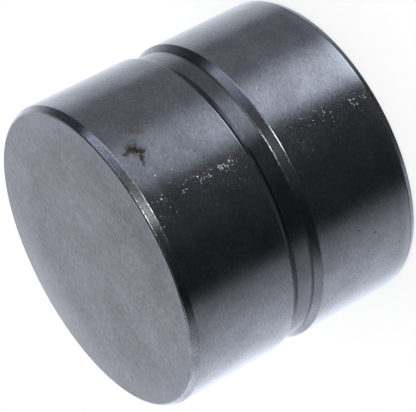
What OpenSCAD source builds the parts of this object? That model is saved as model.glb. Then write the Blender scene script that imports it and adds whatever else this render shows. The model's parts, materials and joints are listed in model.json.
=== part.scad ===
// Hydraulic bucket tappet for an overhead-cam engine: a closed steel bucket with a flat cam face
// and a spring-loaded hydraulic element inside it that takes up the clearance to the valve stem.
// The axis is Z, the crown is on top and the origin is the centre of the skirt rim. Millimetres.

/* [Bucket] */
// Diameter over the ground lands
bucket_d = 30; // [28:0.1:36]
// Height from the skirt rim to the crown face
bucket_h = 25.5; // [24:0.1:32]
// Thickness of the crown
crown_t = 3; // [2.5:0.1:4]
// Diameter of the flat in the middle of the crown
crown_flat_d = 23.1; // [20:0.1:25]
// How far the crown falls away from its flat to its bevel
crown_relief = 0.08; // [0:0.01:0.2]
// Wall of the skirt above the web ring's seat
skirt_wall = 1.9; // [1.5:0.05:2.4]
// Radial width of the seat that the web ring stops against
seat_step = 0.4; // [0.2:0.05:0.6]
// Fillet between the skirt and the underside of the crown
inner_fillet = 1.5; // [0.5:0.1:2]
// Height of the bevel round the crown
crown_bevel_h = 0.8; // [0.3:0.05:1.5]
// Inset of the bevel round the crown
crown_bevel_in = 0.42; // [0.2:0.02:0.8]
// Height of the lead-in bevel outside the skirt rim
rim_bevel_h = 0.65; // [0.3:0.05:1.2]
// Inset of the lead-in bevel outside the skirt rim
rim_bevel_in = 0.28; // [0.1:0.02:0.5]
// Rounding between the lead-in bevel and the rim's end face
rim_round = 0.22; // [0.05:0.01:0.35]
// Bevel inside the skirt rim
rim_bore_bevel = 0.4; // [0.2:0.05:0.7]

/* [Oil groove] */
// Distance from the crown face to the groove's upper edge
groove_drop = 11.25; // [10:0.05:12]
// Width of the groove at its mouth
groove_w = 3.35; // [3:0.05:4.2]
// Depth of the groove
groove_depth = 0.45; // [0.2:0.05:0.8]
// Height of each sloping flank of the groove
groove_flank = 0.8; // [0.2:0.05:1]
// Diameter of the feed hole in the groove's floor
feed_d = 1.4; // [0.8:0.1:1.6]
// Direction of the feed hole, in degrees from X
feed_angle = 90; // [0:5:355]
// Width of the overflow recess under the crown
recess_w = 3; // [2:0.1:4]
// Depth of the overflow recess under the crown
recess_depth = 0.7; // [0.3:0.05:1.2]
// Length of the overflow recess past the guide sleeve
recess_reach = 1.8; // [1:0.1:2.2]

/* [Guide sleeve and web] */
// Wall of the guide sleeve
sleeve_wall = 1.2; // [0.9:0.05:1.6]
// Space between the sleeve's upper end and the crown
sleeve_gap = 0.4; // [0.2:0.05:1]
// Lip of the sleeve below the retaining ring
sleeve_lip = 0.8; // [0.5:0.05:1.2]
// Sheet thickness of the web ring
web_t = 0.9; // [0.6:0.05:1.2]
// Inside radius of the web ring's bends
web_bend = 0.6; // [0.3:0.05:0.8]
// Height of the web ring's band against the skirt
band_h = 2.8; // [2.4:0.1:4]
// Height of the web ring's collar against the sleeve
collar_h = 2.4; // [2.2:0.1:3.5]
// Distance from the groove's lower edge to the web ring's seat
seat_drop = 0.5; // [0.3:0.05:1]
// Wire of the retaining ring
ring_wire = 1; // [0.7:0.05:1.2]
// Opening of the retaining ring, in degrees
ring_opening = 32; // [15:1:60]

/* [Hydraulic element] */
// Travel of the inner housing
stroke = 2.5; // [1.5:0.1:3]
// Diameter of the piston
piston_d = 11; // [10:0.1:12]
// Length of the piston
piston_len = 8.2; // [7.6:0.1:9]
// Wall of the piston round its oil space
piston_wall = 1.4; // [1:0.05:1.8]
// Thickness of the piston's floor
piston_floor = 2; // [1.6:0.1:2.6]
// Wall of the inner housing
housing_wall = 1.7; // [1.4:0.05:2.2]
// Thickness of the inner housing's floor
housing_floor_t = 2.4; // [1.8:0.1:3]
// Length of the inner housing's nose below its shoulder
nose_len = 2.4; // [2:0.1:3]
// Width of the inner housing's shoulder
shoulder_w = 1; // [0.7:0.05:1.2]
// Wire of the return spring
spring_wire = 0.8; // [0.6:0.02:0.9]
// Turns of the return spring
spring_turns = 4; // [3:0.25:4.5]

/* [Check valve] */
// Diameter of the check ball
ball_d = 4; // [3.2:0.1:4.4]
// Lift of the check ball off its seat
ball_lift = 0.25; // [0.15:0.05:0.5]
// Diameter of the oil passage through the piston's floor
passage_d = 2.6; // [1.8:0.1:2.8]
// How far the seat's mouth stands out past the check ball
seat_margin = 0.1; // [0.05:0.05:0.3]
// Sheet thickness of the valve cap
cap_t = 0.35; // [0.25:0.05:0.5]
// Width of the valve cap's flange
cap_flange = 2.1; // [1.6:0.1:2.4]
// Diameter of the oil windows in the valve cap
cap_window_d = 1.2; // [0.8:0.1:1.6]
// Number of oil windows in the valve cap
cap_windows = 4; // [3:1:6]
// Wire of the ball spring
ball_wire = 0.2; // [0.15:0.01:0.26]
// Turns of the ball spring
ball_turns = 3; // [2:0.25:3.5]

/* [Clearances] */
// Running clearance of the piston and the inner housing, all round
run_clear = 0.03; // [0.015:0.005:0.06]
// Brazing gap of the web ring, all round
braze_gap = 0.03; // [0.01:0.01:0.08]
// Gap left where a moving piece comes to rest on its seat
rest_gap = 0.05; // [0.02:0.01:0.1]
// Spare room left at the end of the housing's travel
end_spare = 0.4; // [0.2:0.05:0.8]
// Room between the check ball and the wall of its cap
cap_clear = 0.25; // [0.15:0.05:0.4]

/* [Hidden] */
$fn = 120;
eps = 0.01;
edge = 0.3;

// Bucket levels and radii
bucket_r = bucket_d / 2;
under_z = bucket_h - crown_t;
bore_r = bucket_r - skirt_wall;
seat_r = bore_r + seat_step;
groove_top = bucket_h - groove_drop;
groove_low = groove_top - groove_w;
groove_r = bucket_r - groove_depth;
feed_z = (groove_top + groove_low) / 2;
seat_z = groove_low - seat_drop;
rim_bevel_len = norm([rim_bevel_in, rim_bevel_h]);
rim_round_x = bucket_r - rim_bevel_in - rim_round * (rim_bevel_len - rim_bevel_in) / rim_bevel_h;

// Radii of the hydraulic element, from the piston outwards
piston_r = piston_d / 2;
housing_bore_r = piston_r + run_clear;
housing_r = housing_bore_r + housing_wall;
nose_r = housing_r - shoulder_w;
sleeve_bore_r = housing_r + run_clear;
sleeve_r = sleeve_bore_r + sleeve_wall;

// Check valve, downwards from the piston's foot
piston_foot = under_z - piston_len;
ball_r = ball_d / 2;
seat_mouth_r = ball_r + seat_margin;
ball_z = piston_foot + seat_mouth_r - (ball_r + rest_gap) * sqrt(2);
ball_spring_r = ball_r * 0.6;
ball_spring_top = ball_z - sqrt(ball_r * ball_r - ball_spring_r * ball_spring_r) - rest_gap;
ball_spring_room = ball_lift + ball_wire * (ball_turns + 1);
cap_floor = min(ball_z - ball_r - ball_lift - rest_gap, ball_spring_top - ball_spring_room);
cap_bore_r = ball_r + cap_clear;
cap_r = cap_bore_r + cap_t;
cap_foot = cap_floor - cap_t;

// Inner housing at rest, run out to the retaining ring
housing_floor = cap_foot - end_spare - stroke;
housing_foot = housing_floor - housing_floor_t;
housing_top = under_z - end_spare - stroke;
shoulder_z = housing_foot + nose_len;
ring_z = shoulder_z - rest_gap - ring_wire / 2;
sleeve_foot = ring_z - ring_wire / 2 - sleeve_lip;
sleeve_top = under_z - sleeve_gap;
return_spring_r = (cap_r + housing_bore_r) / 2;

// Web ring
bend_out = web_bend + web_t;
web_z = seat_z - band_h;
band_r = seat_r - braze_gap;
collar_r = sleeve_r + braze_gap;

// Outline of the bucket's section, solid inside, with a rounding that meets the rim's bevel and face
module bucket_outline() {
    round_out = rim_round * rim_bevel_h / rim_bevel_len;
    round_up = rim_round * (1 - rim_bevel_in / rim_bevel_len);
    translate([rim_round_x, rim_round])
        circle(rim_round);
    polygon([
        [0, 0],
        [rim_round_x, 0],
        [rim_round_x + round_out, round_up],
        [bucket_r, rim_bevel_h],
        [bucket_r, groove_low],
        [groove_r, groove_low + groove_flank],
        [groove_r, groove_top - groove_flank],
        [bucket_r, groove_top],
        [bucket_r, bucket_h - crown_bevel_h],
        [bucket_r - crown_bevel_in, bucket_h - crown_relief],
        [crown_flat_d / 2, bucket_h],
        [0, bucket_h]
    ]);
}

// Section of the bucket's hollow: bevelled mouth, seat bore, upper bore and filleted top
module bucket_hollow() {
    polygon([
        [0, -eps],
        [seat_r + rim_bore_bevel + eps, -eps],
        [seat_r, rim_bore_bevel],
        [seat_r, seat_z],
        [0, seat_z]
    ]);
    translate([0, seat_z - eps])
        square([bore_r, under_z - inner_fillet - seat_z + eps]);
    translate([0, seat_z - eps])
        square([bore_r - inner_fillet, under_z - seat_z + eps]);
    translate([bore_r - inner_fillet, under_z - inner_fillet])
        circle(inner_fillet);
}

// Round-ended slot in the crown's underside that leads oil over the sleeve into the piston
module overflow_recess() {
    inner_end = piston_r - piston_wall - recess_w / 2;
    outer_end = sleeve_r + recess_reach - recess_w / 2;
    translate([0, 0, under_z - eps]) {
        translate([inner_end, -recess_w / 2, 0])
            cube([outer_end - inner_end, recess_w, recess_depth + eps]);
        for (x = [inner_end, outer_end])
            translate([x, 0, 0])
                cylinder(h = recess_depth + eps, d = recess_w);
    }
}

module bucket_body() {
    color([0.55, 0.56, 0.6])
    difference() {
        rotate_extrude()
            difference() {
                bucket_outline();
                bucket_hollow();
            }
        rotate([0, 0, feed_angle])
            translate([bore_r - skirt_wall, 0, feed_z])
                rotate([0, 90, 0])
                    cylinder(h = 3 * skirt_wall, d = feed_d);
        rotate([0, 0, feed_angle])
            overflow_recess();
    }
}

// Quarter of a sheet bend, its centre at the origin, turned to the quadrant that starts at turn
module sheet_bend(turn) {
    rotate(turn)
        intersection() {
            difference() {
                circle(bend_out);
                circle(web_bend);
            }
            square(bend_out);
        }
}

// Pressed channel ring: band against the skirt, flat web and collar against the sleeve
module web_ring() {
    outer_bend = band_r - bend_out;
    inner_bend = collar_r + bend_out;
    color([0.5, 0.5, 0.53])
    rotate_extrude() {
        translate([band_r - web_t, web_z + bend_out])
            square([web_t, band_h - bend_out]);
        translate([outer_bend, web_z + bend_out])
            sheet_bend(270);
        translate([inner_bend, web_z])
            square([outer_bend - inner_bend, web_t]);
        translate([inner_bend, web_z + bend_out])
            sheet_bend(180);
        translate([collar_r, web_z + bend_out])
            square([web_t, collar_h - bend_out]);
    }
}

module guide_sleeve() {
    color([0.6, 0.6, 0.63])
    rotate_extrude()
        difference() {
            polygon([
                [sleeve_bore_r + edge, sleeve_foot],
                [sleeve_r - edge, sleeve_foot],
                [sleeve_r, sleeve_foot + edge],
                [sleeve_r, sleeve_top],
                [sleeve_bore_r + edge, sleeve_top],
                [sleeve_bore_r, sleeve_top - edge],
                [sleeve_bore_r, sleeve_foot + edge]
            ]);
            translate([sleeve_bore_r, ring_z])
                circle(ring_wire / 2 + rest_gap);
        }
}

// Cup with a stepped outside: the nose passes through the retaining ring, the shoulder rests on it
module inner_housing() {
    color([0.62, 0.62, 0.65])
    rotate_extrude()
        polygon([
            [0, housing_foot],
            [nose_r - edge, housing_foot],
            [nose_r, housing_foot + edge],
            [nose_r, shoulder_z],
            [housing_r, shoulder_z],
            [housing_r, housing_top - edge],
            [housing_r - edge, housing_top],
            [housing_bore_r + edge, housing_top],
            [housing_bore_r, housing_top - edge],
            [housing_bore_r, housing_floor],
            [0, housing_floor]
        ]);
}

// Hollow plunger: rim on the crown, oil space, floor with the passage and the ball's conical seat
module piston() {
    space_r = piston_r - piston_wall;
    space_z = piston_foot + piston_floor;
    passage_r = passage_d / 2;
    color([0.66, 0.66, 0.68])
    rotate_extrude()
        polygon([
            [seat_mouth_r, piston_foot],
            [piston_r - edge, piston_foot],
            [piston_r, piston_foot + edge],
            [piston_r, under_z - edge],
            [piston_r - edge, under_z],
            [space_r, under_z],
            [space_r, space_z + edge],
            [space_r - edge, space_z],
            [passage_r, space_z],
            [passage_r, piston_foot + seat_mouth_r - passage_r]
        ]);
}

// Pressed cage: flange clamped on the piston's foot by the return spring, cup round the ball
module valve_cap() {
    drain_r = ball_spring_r - 2 * ball_wire;
    color([0.58, 0.56, 0.52])
    difference() {
        rotate_extrude()
            polygon([
                [drain_r, cap_foot],
                [cap_r, cap_foot],
                [cap_r, piston_foot - cap_t],
                [cap_r + cap_flange - cap_t, piston_foot - cap_t],
                [cap_r + cap_flange - cap_t, piston_foot],
                [cap_bore_r, piston_foot],
                [cap_bore_r, cap_floor],
                [drain_r, cap_floor]
            ]);
        for (i = [0 : cap_windows - 1])
            rotate([0, 90, i * 360 / cap_windows])
                translate([-(cap_floor + piston_foot - cap_t) / 2, 0, 0])
                    cylinder(h = 2 * cap_r, d = cap_window_d);
    }
}

module check_ball() {
    color([0.75, 0.75, 0.77])
    translate([0, 0, ball_z])
        sphere(ball_r);
}

// Height of a coil's wire after the given turns: a closed turn at each end, open pitch between
function coil_rise(turn, turns, wire, rise) =
    let (closed = 0.75,
         tight = 1.04 * wire,
         pitch = (rise - 2 * closed * tight) / (turns - 2 * closed))
    turn < closed ? turn * tight
    : turn > turns - closed ? rise - (turns - turn) * tight
    : closed * tight + (turn - closed) * pitch;

// Coil spring between two levels: rings of points along the wire, skinned into one closed solid
module coil(mean_r, wire, low, high, turns, steps, sides) {
    count = ceil(turns * steps);
    rise = high - low - wire;
    points = [
        for (i = [0 : count], j = [0 : sides - 1])
            let (turn = turns * i / count,
                 across = mean_r + wire / 2 * cos(360 * j / sides),
                 up = low + wire / 2 + coil_rise(turn, turns, wire, rise))
            [across * cos(360 * turn), across * sin(360 * turn), up + wire / 2 * sin(360 * j / sides)]
    ];
    skin = [
        for (i = [0 : count - 1], j = [0 : sides - 1])
            let (k = (j + 1) % sides)
            [i * sides + j, i * sides + k, (i + 1) * sides + k, (i + 1) * sides + j]
    ];
    first_end = [for (j = [sides - 1 : -1 : 0]) j];
    last_end = [for (j = [0 : sides - 1]) count * sides + j];
    polyhedron(points, concat([first_end], skin, [last_end]));
}

module return_spring() {
    color([0.35, 0.35, 0.38])
    coil(return_spring_r, spring_wire, housing_floor + rest_gap, piston_foot - cap_t - rest_gap,
         spring_turns, 28, 10);
}

module ball_spring() {
    color([0.4, 0.4, 0.42])
    coil(ball_spring_r, ball_wire, cap_floor + rest_gap, ball_spring_top, ball_turns, 18, 8);
}

// Open ring of round wire, half of it in the sleeve's groove
module retaining_ring() {
    color([0.3, 0.3, 0.33])
    translate([0, 0, ring_z])
        rotate([0, 0, feed_angle + ring_opening / 2])
            rotate_extrude(angle = 360 - ring_opening)
                translate([sleeve_bore_r, 0])
                    circle(ring_wire / 2);
}

bucket_body();
web_ring();
guide_sleeve();
inner_housing();
piston();
return_spring();
valve_cap();
check_ball();
ball_spring();
retaining_ring();
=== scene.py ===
"""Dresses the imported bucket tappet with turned, ground and pressed steel, studio light and a camera."""

import json
import math

import bmesh
import bpy
from mathutils import Matrix, Vector


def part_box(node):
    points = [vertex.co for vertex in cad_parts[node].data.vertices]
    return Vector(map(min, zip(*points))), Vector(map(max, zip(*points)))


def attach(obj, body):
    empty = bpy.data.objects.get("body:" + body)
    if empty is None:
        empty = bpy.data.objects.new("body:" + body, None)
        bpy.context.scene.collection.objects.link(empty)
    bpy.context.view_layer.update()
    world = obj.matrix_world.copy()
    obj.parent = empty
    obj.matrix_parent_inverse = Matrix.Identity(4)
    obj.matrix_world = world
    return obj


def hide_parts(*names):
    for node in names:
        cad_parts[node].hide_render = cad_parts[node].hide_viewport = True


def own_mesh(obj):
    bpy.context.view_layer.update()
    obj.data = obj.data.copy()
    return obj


bl_info = {
    "name": "Bucket tappet",
    "version": (1, 0, 0),
    "blender": (4, 5, 0),
    "location": "3D View > Sidebar > Tappet",
    "description": "Models the pieces of a hydraulic bucket tappet and the studio it is seen in",
    "category": "Object",
}

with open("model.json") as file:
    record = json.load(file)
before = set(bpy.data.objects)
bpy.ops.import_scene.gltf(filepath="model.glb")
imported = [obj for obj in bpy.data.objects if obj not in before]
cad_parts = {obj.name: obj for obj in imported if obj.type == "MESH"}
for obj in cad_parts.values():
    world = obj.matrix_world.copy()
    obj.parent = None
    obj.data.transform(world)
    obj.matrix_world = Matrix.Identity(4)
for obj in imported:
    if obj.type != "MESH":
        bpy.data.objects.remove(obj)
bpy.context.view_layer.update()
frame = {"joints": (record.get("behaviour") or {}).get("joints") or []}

MM = 0.001
DEGREES = 180.0 / math.pi
AXIS = Vector((0.0, 0.0, 1.0))

# The photograph's frame and the crown's centre in it, in pixels, and the camera's sensor in millimetres
FRAME_W = 416
FRAME_H = 412
CROWN_X = 92.3
CROWN_Y = 261.2
SENSOR_W = 36.0

# Sides of a round piece: the outer skin, a piece inside, a cutter, a turn of a coil and a wire's section
SKIN_STEPS = 256
INNER_STEPS = 128
CUTTER_STEPS = 48
COIL_STEPS = 48
WIRE_STEPS = 16

# Faces across a rounded edge, and rings from the crown's flat to its edge
EASE_STEPS = 3
CROWN_RINGS = 5

# Closed part of a turn at each end of a coil, and its rise in wires per turn
CLOSED_TURN = 0.75
CLOSED_RISE = 1.04

# Distances within which vertices lie on one ring, or are one
ON_RING = 1e-6
SAME_SPOT = 1e-7

# Cosine of the bend past which a corner is sharp
SHARP = math.cos(math.radians(40.0))


def outer_radius(node):
    """Largest radius of a round node about the axis."""
    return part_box(node)[1].x


def foot(node):
    """Lowest height of a node."""
    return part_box(node)[0].z


def top(node):
    """Highest height of a node."""
    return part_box(node)[1].z


# Settings that a user would change


def length(name, description, millimetres):
    """A length property, given in millimetres and kept in metres."""
    return bpy.props.FloatProperty(
        name=name,
        description=description,
        default=millimetres * MM,
        min=0.0,
        unit="LENGTH",
        precision=5,
    )


def share(name, description, default):
    """A property from 0 to 1."""
    return bpy.props.FloatProperty(
        name=name, description=description, default=default, min=0.0, max=1.0, subtype="FACTOR"
    )


def angle(name, description, degrees):
    """An angle property, given in degrees and kept in radians."""
    return bpy.props.FloatProperty(
        name=name, description=description, default=math.radians(degrees), subtype="ANGLE"
    )


def colour(name, description, default):
    """A colour property."""
    return bpy.props.FloatVectorProperty(
        name=name, description=description, default=default, min=0.0, max=1.0, subtype="COLOR"
    )


class TappetBucketSizes(bpy.types.PropertyGroup):
    """Sizes of the bucket."""

    crown_thickness: length("Crown thickness", "Metal between the cam face and the hollow", 3.0)
    crown_relief: length("Crown relief", "How far the cam face falls away at its edge", 0.08)
    crown_flat: share("Crown flat", "Part of the crown's radius that is flat", 0.6)
    crown_bevel_height: length("Crown bevel height", "Height of the bevel round the crown", 0.8)
    crown_bevel_inset: length("Crown bevel inset", "Inset of the bevel round the crown", 0.42)
    rim_bevel_height: length("Rim bevel height", "Height of the bevel outside the rim", 0.65)
    rim_bevel_inset: length("Rim bevel inset", "Inset of the bevel outside the rim", 0.28)
    rim_edge: length("Rim edge", "Rounding between the rim's bevel and its end face", 0.22)
    rim_bore_bevel: length("Bore bevel", "Bevel inside the rim", 0.4)
    skirt_wall: length("Skirt wall", "Wall of the skirt above the web ring's seat", 1.9)
    seat_step: length("Seat step", "Width of the web ring's seat", 0.4)
    seat_drop: length("Seat drop", "Distance from the groove to the web ring's seat", 0.5)
    inner_fillet: length("Inner fillet", "Fillet between the skirt and the crown", 1.5)
    groove_drop: length("Groove drop", "Distance from the crown face to the groove", 11.25)
    groove_width: length("Groove width", "Width of the oil groove at its mouth", 3.35)
    groove_depth: length("Groove depth", "Depth of the oil groove", 0.45)
    groove_flank: length("Groove flank", "Height of each flank of the oil groove", 0.8)
    groove_round: length("Groove rounding", "Rounding at the foot of the lower flank", 0.08)
    groove_corner: length("Groove corner", "Rounding at the foot of the upper flank", 0.02)
    crown_edge: length("Crown edge", "Rounding between the crown and its bevel", 0.2)
    edge_break: length("Edge break", "Rounding of the bucket's other edges", 0.07)
    feed_diameter: length("Feed hole", "Diameter of the oil feed hole", 1.4)
    recess_width: length("Recess width", "Width of the overflow recess", 3.0)
    recess_depth: length("Recess depth", "Depth of the overflow recess", 0.7)
    recess_start: length("Recess start", "Distance from the axis to the recess's inner centre", 2.6)
    recess_end: length("Recess end", "Distance from the axis to the recess's outer centre", 8.76)


class TappetElementSizes(bpy.types.PropertyGroup):
    """Sizes of the pieces inside the bucket."""

    run_clearance: length("Running clearance", "Clearance of the sliding pieces, all round", 0.03)
    edge: length("Edge bevel", "Bevel on the turned pieces' edges", 0.3)
    ease: length("Edge rounding", "Rounding of the turned pieces' edges", 0.05)
    sheet_ease: length("Sheet rounding", "Rounding of a pressed sheet's edges", 0.12)
    web_thickness: length("Web sheet", "Sheet thickness of the web ring", 0.9)
    web_bend: length("Web bend", "Inside radius of the web ring's bends", 0.6)
    collar_height: length("Collar height", "Height of the web ring's collar", 2.4)
    braze_gap: length("Brazing gap", "Gap between the web ring's collar and the sleeve", 0.03)
    ring_groove_gap: length("Ring room", "Room round the retaining ring in its groove", 0.05)
    ring_opening: angle("Ring opening", "Opening of the retaining ring", 32.0)
    housing_floor: length("Housing floor", "Thickness of the housing's floor", 2.4)
    nose_length: length("Nose length", "Length of the housing below its shoulder", 2.4)
    shoulder_width: length("Shoulder width", "Width of the housing's shoulder", 1.0)
    piston_wall: length("Piston wall", "Wall of the piston round its oil space", 1.4)
    piston_floor: length("Piston floor", "Thickness of the piston's floor", 2.0)
    passage: length("Passage", "Diameter of the passage through the piston's floor", 2.6)
    seat_margin: length("Seat margin", "How far the seat's mouth stands out past the ball", 0.1)
    cap_sheet: length("Cap sheet", "Sheet thickness of the valve cap", 0.35)
    cap_clearance: length("Cap clearance", "Room between the ball and its cap", 0.25)
    cap_window: length("Cap window", "Diameter of the windows in the valve cap", 1.2)
    cap_drain: length("Cap drain", "Diameter of the hole in the valve cap's floor", 1.6)
    return_wire: length("Return wire", "Wire of the return spring", 0.8)
    ball_wire: length("Ball wire", "Wire of the ball spring", 0.2)
    return_turns: bpy.props.FloatProperty(
        name="Return turns", description="Turns of the return spring", default=4.0, min=2.0
    )
    ball_turns: bpy.props.FloatProperty(
        name="Ball turns", description="Turns of the ball spring", default=3.0, min=2.0
    )


class TappetFinishes(bpy.types.PropertyGroup):
    """Colours and roughness of the steels."""

    crown: colour("Crown steel", "Colour of the ground crown", (0.517, 0.515, 0.513))
    ground: colour("Ground steel", "Colour of the ground lands", (0.55, 0.555, 0.575))
    turned: colour("Turned steel", "Colour of the bevels and the turned pieces", (0.5, 0.505, 0.52))
    groove: colour("Groove steel", "Colour of the oil groove", (0.37, 0.37, 0.385))
    pressed: colour("Pressed steel", "Colour of the pressed sheet pieces", (0.42, 0.42, 0.43))
    wire: colour("Spring wire", "Colour of the drawn wire", (0.3, 0.3, 0.32))
    polished: colour("Polished steel", "Colour of the ball", (0.65, 0.65, 0.67))
    rust: colour("Rust", "Colour of the rust stain", (0.042, 0.028, 0.019))
    bloom: colour("Rust bloom", "Colour of steel under faint rust", (0.36, 0.24, 0.17))
    pit: colour("Bright pit", "Colour of the burnished pits", (0.97, 0.96, 0.94))
    land_roughness: share("Land roughness", "Roughness of the ground lands", 0.17)
    crown_roughness: share("Crown roughness", "Roughness of the ground crown", 0.22)
    turned_roughness: share("Bevel roughness", "Roughness of the bevels", 0.13)
    groove_roughness: share("Groove roughness", "Roughness of the oil groove", 0.17)


class TappetStage(bpy.types.PropertyGroup):
    """Camera, floor and light."""

    lens: bpy.props.FloatProperty(
        name="Lens", description="Focal length of the camera", default=193.07, unit="CAMERA"
    )
    distance: length("Distance", "Depth of the crown's centre in front of the camera", 201.0)
    elevation: angle("Elevation", "Height of the camera above the crown's plane", 25.54)
    roll: angle("Roll", "Turn of the camera about its line of sight", -117.98)
    floor_size: length("Floor size", "Half the side of the floor", 1200.0)
    floor_glow: share("Floor glow", "White of the floor that takes no shadow", 0.82)
    floor_matt: share("Floor matt", "White of the floor that takes the shadow", 0.25)
    sky: share("Overhead light", "Brightness of the studio overhead", 0.08)
    softbox_power: bpy.props.FloatProperty(
        name="Softbox power", description="Power of the lamp overhead", default=1.4, unit="POWER"
    )
    softbox_size: length("Softbox size", "Side of the lamp overhead", 400.0)
    softbox_height: length("Softbox height", "Height of the lamp overhead", 500.0)


# Mesh making


def near(vertex, radius, height):
    """Whether a vertex lies on the ring of one radius and height."""
    away = math.hypot(vertex.co.x, vertex.co.y) - radius
    return abs(away) < ON_RING and abs(vertex.co.z - height) < ON_RING


def ease_ring(mesh, radius, height, size):
    """Rounds the ring of edges at one radius and height."""
    ring = [e for e in mesh.edges if all(near(v, radius, height) for v in e.verts)]
    if not ring:
        raise RuntimeError(f"no edge ring at radius {radius:.6f} and height {height:.6f}")
    bmesh.ops.bevel(
        mesh,
        geom=ring,
        offset=size,
        offset_type="OFFSET",
        segments=EASE_STEPS,
        profile=0.5,
        affect="EDGES",
        material=-1,
        clamp_overlap=True,
    )


def spin_outline(outline, steps, closed=False):
    """A round piece from an outline of (radius, height, rounding) points, spun once about the axis."""
    mesh = bmesh.new()
    line = [mesh.verts.new((radius, 0.0, height)) for radius, height, _ in outline]
    ends = line[1:] + line[:1] if closed else line[1:]
    edges = [mesh.edges.new(pair) for pair in zip(line, ends)]
    bmesh.ops.spin(
        mesh,
        geom=line + edges,
        cent=(0.0, 0.0, 0.0),
        axis=AXIS,
        dvec=(0.0, 0.0, 0.0),
        angle=2.0 * math.pi,
        steps=steps,
        use_merge=True,
        use_normal_flip=False,
        use_duplicate=False,
    )
    bmesh.ops.remove_doubles(mesh, verts=mesh.verts, dist=SAME_SPOT)
    bmesh.ops.recalc_face_normals(mesh, faces=mesh.faces)
    for radius, height, rounding in outline:
        if rounding > 0.0:
            ease_ring(mesh, radius, height, rounding)
    return mesh


def wire_section(mesh, radius, height, wire):
    """A circle of wire that stands across the X axis. Returns its vertices and edges."""
    made = bmesh.ops.create_circle(mesh, cap_ends=False, radius=wire / 2, segments=WIRE_STEPS)
    place = Matrix.Translation((radius, 0.0, height)) @ Matrix.Rotation(math.pi / 2, 4, "X")
    bmesh.ops.transform(mesh, matrix=place, verts=made["verts"])
    edges = {e for v in made["verts"] for e in v.link_edges}
    return made["verts"] + list(edges)


def wind(mesh, section, turn, rise, steps):
    """Winds a wire's section on about the axis. Returns the section it ends in."""
    made = bmesh.ops.spin(
        mesh,
        geom=section,
        cent=(0.0, 0.0, 0.0),
        axis=AXIS,
        dvec=(0.0, 0.0, rise / steps),
        angle=turn,
        steps=steps,
        use_merge=False,
        use_normal_flip=False,
        use_duplicate=False,
    )
    return made["geom_last"]


def close_wire(mesh):
    """Caps a wire's two ends and turns its faces outwards."""
    bmesh.ops.holes_fill(mesh, edges=[e for e in mesh.edges if e.is_boundary], sides=0)
    bmesh.ops.recalc_face_normals(mesh, faces=mesh.faces)


def finish_piece(name, mesh, materials, body, node):
    """Makes a piece from its mesh, lets it ride on its body and stand for its node."""
    data = bpy.data.meshes.new(name)
    for face in mesh.faces:
        face.smooth = True
    mesh.to_mesh(data)
    mesh.free()
    for material in materials:
        data.materials.append(material)
    piece = bpy.data.objects.new(name, data)
    bpy.context.scene.collection.objects.link(piece)
    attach(piece, body)
    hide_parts(node)
    return piece


def crisp_normals(piece):
    """Lets the broad faces set the shading, so that flats stay flat and sharp corners stay sharp."""
    mesh = bmesh.new()
    mesh.from_mesh(piece.data)
    areas = {face: face.calc_area() for face in mesh.faces}
    normals = []
    for face in mesh.faces:
        for corner in face.loops:
            round_it = [f for f in corner.vert.link_faces if f.normal.dot(face.normal) > SHARP]
            broad = max(areas[f] for f in round_it) / 2
            lead = sum((f.normal for f in round_it if areas[f] >= broad), Vector())
            normals.append(lead.normalized())
    mesh.free()
    piece.data.normals_split_custom_set(normals)


def cut_away(piece, mesh):
    """Cuts a closed shape out of a piece."""
    data = bpy.data.meshes.new("cutter")
    mesh.to_mesh(data)
    mesh.free()
    cutter = bpy.data.objects.new("cutter", data)
    bpy.context.scene.collection.objects.link(cutter)
    cut = piece.modifiers.new("cut", "BOOLEAN")
    cut.operation = "DIFFERENCE"
    cut.solver = "EXACT"
    cut.object = cutter
    graph = bpy.context.evaluated_depsgraph_get()
    result = bpy.data.meshes.new_from_object(piece.evaluated_get(graph))
    piece.modifiers.clear()
    old = piece.data
    piece.data = result
    result.name = piece.name
    bpy.data.meshes.remove(old)
    bpy.data.objects.remove(cutter)
    bpy.data.meshes.remove(data)


def rod(radius, start, end):
    """A closed round rod between two points."""
    mesh = bmesh.new()
    run = Vector(end) - Vector(start)
    bmesh.ops.create_cone(
        mesh,
        cap_ends=True,
        segments=CUTTER_STEPS,
        radius1=radius,
        radius2=radius,
        depth=run.length,
    )
    turn = run.to_track_quat("Z", "Y").to_matrix().to_4x4()
    middle = Matrix.Translation((Vector(start) + Vector(end)) / 2)
    bmesh.ops.transform(mesh, matrix=middle @ turn, verts=mesh.verts)
    return mesh


def slot_bar(width, start, end, low, high):
    """A closed bar with round ends along Y, between two heights."""
    mesh = bmesh.new()
    bmesh.ops.create_circle(mesh, cap_ends=True, radius=width / 2, segments=CUTTER_STEPS)
    far = [v for v in mesh.verts if v.co.y > SAME_SPOT]
    bmesh.ops.translate(mesh, verts=mesh.verts, vec=(0.0, start, low))
    bmesh.ops.translate(mesh, verts=far, vec=(0.0, end - start, 0.0))
    raised = bmesh.ops.extrude_face_region(mesh, geom=mesh.faces[:])
    lifted = [v for v in raised["geom"] if isinstance(v, bmesh.types.BMVert)]
    bmesh.ops.translate(mesh, verts=lifted, vec=(0.0, 0.0, high - low))
    bmesh.ops.recalc_face_normals(mesh, faces=mesh.faces)
    return mesh


# Shader making

# Sockets of the Mix node for colours and for numbers: the two values and the result
COLOUR_SOCKETS = (6, 7, 2)
NUMBER_SOCKETS = (2, 3, 0)


def skin_arc():
    """Millimetres along the bucket's skin for each degree round it."""
    return outer_radius("bucket_body") / MM / DEGREES


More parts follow.
